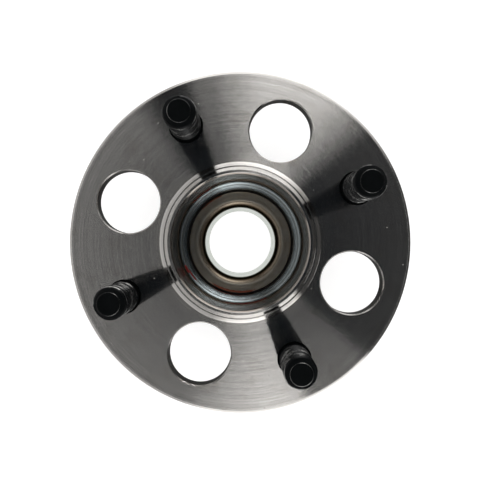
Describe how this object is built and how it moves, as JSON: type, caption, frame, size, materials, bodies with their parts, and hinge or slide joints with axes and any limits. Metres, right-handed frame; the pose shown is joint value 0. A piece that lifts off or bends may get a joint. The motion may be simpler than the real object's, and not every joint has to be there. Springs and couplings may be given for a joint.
{
  "type": "wheel hub bearing",
  "caption": "Rear wheel hub bearing: turned flange with pressed studs, access holes and stepped pilot, on a sealed double row ball bearing with a split inner ring.",
  "frame": {"origin": "centre of the wheel mounting face of the flange, on the hub's axis", "axes": "+Z outboard along the hub's axis, towards the wheel; +X through the first stud; the part stands on the inboard face of its inner ring"},
  "size_m": [0.133, 0.133, 0.0836],
  "materials": {
    "hub_steel": "turned",
    "stud_steel": "black phosphate",
    "ring_steel": "ground",
    "ball_steel": "polished",
    "cage_nylon": "moulded",
    "seal_sheet_steel": "zinc plated",
    "seal_rubber": "moulded"
  },
  "bodies": {
    "inner_rings": {"outboard_inner_ring": "ring_steel", "inboard_inner_ring": "ring_steel", "inboard_slinger": "seal_sheet_steel"},
    "hub": {"hub_flange": "hub_steel", "wheel_stud_1": "stud_steel", "wheel_stud_2": "stud_steel", "wheel_stud_3": "stud_steel", "wheel_stud_4": "stud_steel", "outboard_seal_case": "seal_sheet_steel", "outboard_seal_lip": "seal_rubber", "inboard_seal_case": "seal_sheet_steel", "inboard_seal_lip": "seal_rubber"},
    "outboard_cage": {"outboard_cage": "cage_nylon"},
    "inboard_cage": {"inboard_cage": "cage_nylon"},
    "outboard_ball_01": {"outboard_ball_01": "ball_steel"},
    "outboard_ball_02": {"outboard_ball_02": "ball_steel"},
    "outboard_ball_03": {"outboard_ball_03": "ball_steel"},
    "outboard_ball_04": {"outboard_ball_04": "ball_steel"},
    "outboard_ball_05": {"outboard_ball_05": "ball_steel"},
    "outboard_ball_06": {"outboard_ball_06": "ball_steel"},
    "outboard_ball_07": {"outboard_ball_07": "ball_steel"},
    "outboard_ball_08": {"outboard_ball_08": "ball_steel"},
    "outboard_ball_09": {"outboard_ball_09": "ball_steel"},
    "outboard_ball_10": {"outboard_ball_10": "ball_steel"},
    "outboard_ball_11": {"outboard_ball_11": "ball_steel"},
    "outboard_ball_12": {"outboard_ball_12": "ball_steel"},
    "inboard_ball_01": {"inboard_ball_01": "ball_steel"},
    "inboard_ball_02": {"inboard_ball_02": "ball_steel"},
    "inboard_ball_03": {"inboard_ball_03": "ball_steel"},
    "inboard_ball_04": {"inboard_ball_04": "ball_steel"},
    "inboard_ball_05": {"inboard_ball_05": "ball_steel"},
    "inboard_ball_06": {"inboard_ball_06": "ball_steel"},
    "inboard_ball_07": {"inboard_ball_07": "ball_steel"},
    "inboard_ball_08": {"inboard_ball_08": "ball_steel"},
    "inboard_ball_09": {"inboard_ball_09": "ball_steel"},
    "inboard_ball_10": {"inboard_ball_10": "ball_steel"},
    "inboard_ball_11": {"inboard_ball_11": "ball_steel"},
    "inboard_ball_12": {"inboard_ball_12": "ball_steel"}
  },
  "joints": [
    {"name": "hub_spin", "type": "hinge", "parent": "inner_rings", "child": "hub", "pos_m": [0, 0, -0.0305], "axis": [0, 0, 1], "continuous": true},
    {"name": "outboard_cage_spin", "type": "hinge", "parent": "inner_rings", "child": "outboard_cage", "pos_m": [0, 0, -0.022], "axis": [0, 0, 1], "continuous": true},
    {"name": "outboard_ball_01_roll", "type": "hinge", "parent": "outboard_cage", "child": "outboard_ball_01", "pos_m": [0.02094, 0, -0.022], "axis": [0.5736, 0, 0.8192], "continuous": true},
    {"name": "outboard_ball_02_roll", "type": "hinge", "parent": "outboard_cage", "child": "outboard_ball_02", "pos_m": [0.01813, 0.01047, -0.022], "axis": [0.4967, 0.2868, 0.8192], "continuous": true},
    {"name": "outboard_ball_03_roll", "type": "hinge", "parent": "outboard_cage", "child": "outboard_ball_03", "pos_m": [0.01047, 0.01813, -0.022], "axis": [0.2868, 0.4967, 0.8192], "continuous": true},
    {"name": "outboard_ball_04_roll", "type": "hinge", "parent": "outboard_cage", "child": "outboard_ball_04", "pos_m": [0, 0.02094, -0.022], "axis": [0, 0.5736, 0.8192], "continuous": true},
    {"name": "outboard_ball_05_roll", "type": "hinge", "parent": "outboard_cage", "child": "outboard_ball_05", "pos_m": [-0.01047, 0.01813, -0.022], "axis": [-0.2868, 0.4967, 0.8192], "continuous": true},
    {"name": "outboard_ball_06_roll", "type": "hinge", "parent": "outboard_cage", "child": "outboard_ball_06", "pos_m": [-0.01813, 0.01047, -0.022], "axis": [-0.4967, 0.2868, 0.8192], "continuous": true},
    {"name": "outboard_ball_07_roll", "type": "hinge", "parent": "outboard_cage", "child": "outboard_ball_07", "pos_m": [-0.02094, 0, -0.022], "axis": [-0.5736, 0, 0.8192], "continuous": true},
    {"name": "outboard_ball_08_roll", "type": "hinge", "parent": "outboard_cage", "child": "outboard_ball_08", "pos_m": [-0.01813, -0.01047, -0.022], "axis": [-0.4967, -0.2868, 0.8192], "continuous": true},
    {"name": "outboard_ball_09_roll", "type": "hinge", "parent": "outboard_cage", "child": "outboard_ball_09", "pos_m": [-0.01047, -0.01813, -0.022], "axis": [-0.2868, -0.4967, 0.8192], "continuous": true},
    {"name": "outboard_ball_10_roll", "type": "hinge", "parent": "outboard_cage", "child": "outboard_ball_10", "pos_m": [0, -0.02094, -0.022], "axis": [0, -0.5736, 0.8192], "continuous": true},
    {"name": "outboard_ball_11_roll", "type": "hinge", "parent": "outboard_cage", "child": "outboard_ball_11", "pos_m": [0.01047, -0.01813, -0.022], "axis": [0.2868, -0.4967, 0.8192], "continuous": true},
    {"name": "outboard_ball_12_roll", "type": "hinge", "parent": "outboard_cage", "child": "outboard_ball_12", "pos_m": [0.01813, -0.01047, -0.022], "axis": [0.4967, -0.2868, 0.8192], "continuous": true},
    {"name": "inboard_cage_spin", "type": "hinge", "parent": "inner_rings", "child": "inboard_cage", "pos_m": [0, 0, -0.039], "axis": [0, 0, 1], "continuous": true},
    {"name": "inboard_ball_01_roll", "type": "hinge", "parent": "inboard_cage", "child": "inboard_ball_01", "pos_m": [0.02094, 0, -0.039], "axis": [-0.5736, 0, 0.8192], "continuous": true},
    {"name": "inboard_ball_02_roll", "type": "hinge", "parent": "inboard_cage", "child": "inboard_ball_02", "pos_m": [0.01813, 0.01047, -0.039], "axis": [-0.4967, -0.2868, 0.8192], "continuous": true},
    {"name": "inboard_ball_03_roll", "type": "hinge", "parent": "inboard_cage", "child": "inboard_ball_03", "pos_m": [0.01047, 0.01813, -0.039], "axis": [-0.2868, -0.4967, 0.8192], "continuous": true},
    {"name": "inboard_ball_04_roll", "type": "hinge", "parent": "inboard_cage", "child": "inboard_ball_04", "pos_m": [0, 0.02094, -0.039], "axis": [0, -0.5736, 0.8192], "continuous": true},
    {"name": "inboard_ball_05_roll", "type": "hinge", "parent": "inboard_cage", "child": "inboard_ball_05", "pos_m": [-0.01047, 0.01813, -0.039], "axis": [0.2868, -0.4967, 0.8192], "continuous": true},
    {"name": "inboard_ball_06_roll", "type": "hinge", "parent": "inboard_cage", "child": "inboard_ball_06", "pos_m": [-0.01813, 0.01047, -0.039], "axis": [0.4967, -0.2868, 0.8192], "continuous": true},
    {"name": "inboard_ball_07_roll", "type": "hinge", "parent": "inboard_cage", "child": "inboard_ball_07", "pos_m": [-0.02094, 0, -0.039], "axis": [0.5736, 0, 0.8192], "continuous": true},
    {"name": "inboard_ball_08_roll", "type": "hinge", "parent": "inboard_cage", "child": "inboard_ball_08", "pos_m": [-0.01813, -0.01047, -0.039], "axis": [0.4967, 0.2868, 0.8192], "continuous": true},
    {"name": "inboard_ball_09_roll", "type": "hinge", "parent": "inboard_cage", "child": "inboard_ball_09", "pos_m": [-0.01047, -0.01813, -0.039], "axis": [0.2868, 0.4967, 0.8192], "continuous": true},
    {"name": "inboard_ball_10_roll", "type": "hinge", "parent": "inboard_cage", "child": "inboard_ball_10", "pos_m": [0, -0.02094, -0.039], "axis": [0, 0.5736, 0.8192], "continuous": true},
    {"name": "inboard_ball_11_roll", "type": "hinge", "parent": "inboard_cage", "child": "inboard_ball_11", "pos_m": [0.01047, -0.01813, -0.039], "axis": [-0.2868, 0.4967, 0.8192], "continuous": true},
    {"name": "inboard_ball_12_roll", "type": "hinge", "parent": "inboard_cage", "child": "inboard_ball_12", "pos_m": [0.01813, -0.01047, -0.039], "axis": [-0.4967, 0.2868, 0.8192], "continuous": true}
  ],
  "couplings": [
    {"joint": "outboard_cage_spin", "follows": "hub_spin", "ratio": 0.57764},
    {"joint": "outboard_ball_01_roll", "follows": "hub_spin", "ratio": 2.5739},
    {"joint": "outboard_ball_02_roll", "follows": "hub_spin", "ratio": 2.5739},
    {"joint": "outboard_ball_03_roll", "follows": "hub_spin", "ratio": 2.5739},
    {"joint": "outboard_ball_04_roll", "follows": "hub_spin", "ratio": 2.5739},
    {"joint": "outboard_ball_05_roll", "follows": "hub_spin", "ratio": 2.5739},
    {"joint": "outboard_ball_06_roll", "follows": "hub_spin", "ratio": 2.5739},
    {"joint": "outboard_ball_07_roll", "follows": "hub_spin", "ratio": 2.5739},
    {"joint": "outboard_ball_08_roll", "follows": "hub_spin", "ratio": 2.5739},
    {"joint": "outboard_ball_09_roll", "follows": "hub_spin", "ratio": 2.5739},
    {"joint": "outboard_ball_10_roll", "follows": "hub_spin", "ratio": 2.5739},
    {"joint": "outboard_ball_11_roll", "follows": "hub_spin", "ratio": 2.5739},
    {"joint": "outboard_ball_12_roll", "follows": "hub_spin", "ratio": 2.5739},
    {"joint": "inboard_cage_spin", "follows": "hub_spin", "ratio": 0.57764},
    {"joint": "inboard_ball_01_roll", "follows": "hub_spin", "ratio": 2.5739},
    {"joint": "inboard_ball_02_roll", "follows": "hub_spin", "ratio": 2.5739},
    {"joint": "inboard_ball_03_roll", "follows": "hub_spin", "ratio": 2.5739},
    {"joint": "inboard_ball_04_roll", "follows": "hub_spin", "ratio": 2.5739},
    {"joint": "inboard_ball_05_roll", "follows": "hub_spin", "ratio": 2.5739},
    {"joint": "inboard_ball_06_roll", "follows": "hub_spin", "ratio": 2.5739},
    {"joint": "inboard_ball_07_roll", "follows": "hub_spin", "ratio": 2.5739},
    {"joint": "inboard_ball_08_roll", "follows": "hub_spin", "ratio": 2.5739},
    {"joint": "inboard_ball_09_roll", "follows": "hub_spin", "ratio": 2.5739},
    {"joint": "inboard_ball_10_roll", "follows": "hub_spin", "ratio": 2.5739},
    {"joint": "inboard_ball_11_roll", "follows": "hub_spin", "ratio": 2.5739},
    {"joint": "inboard_ball_12_roll", "follows": "hub_spin", "ratio": 2.5739}
  ]
}
